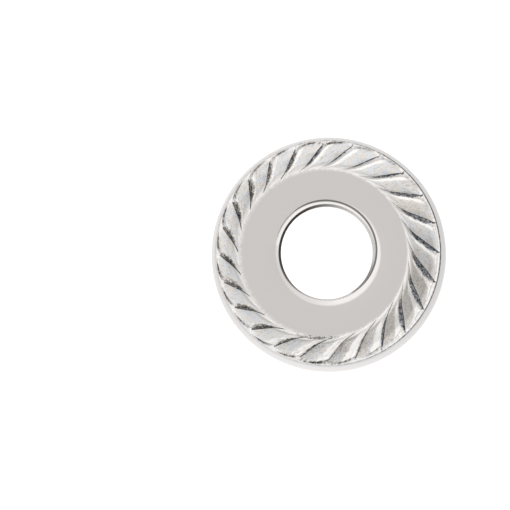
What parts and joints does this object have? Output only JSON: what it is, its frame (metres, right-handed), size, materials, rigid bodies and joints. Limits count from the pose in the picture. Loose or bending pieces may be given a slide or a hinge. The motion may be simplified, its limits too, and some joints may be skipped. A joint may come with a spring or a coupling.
{
  "type": "serrated flange nut",
  "caption": "Hexagon nut with a conical flange and ratchet teeth on its bearing face, for a metric screw, that locks against turning back.",
  "frame": {"origin": "middle of the hexagon's end face, on which the nut stands", "axes": "+Z along the bore's axis, from the hexagon's end face to the toothed bearing face; two of the hexagon's corners lie on the Y axis"},
  "size_m": [0.017, 0.017, 0.0079],
  "materials": {
    "steel": "satin, from forging and barrel finishing"
  },
  "bodies": {
    "root": {"flange_nut": "steel"}
  },
  "joints": []
}
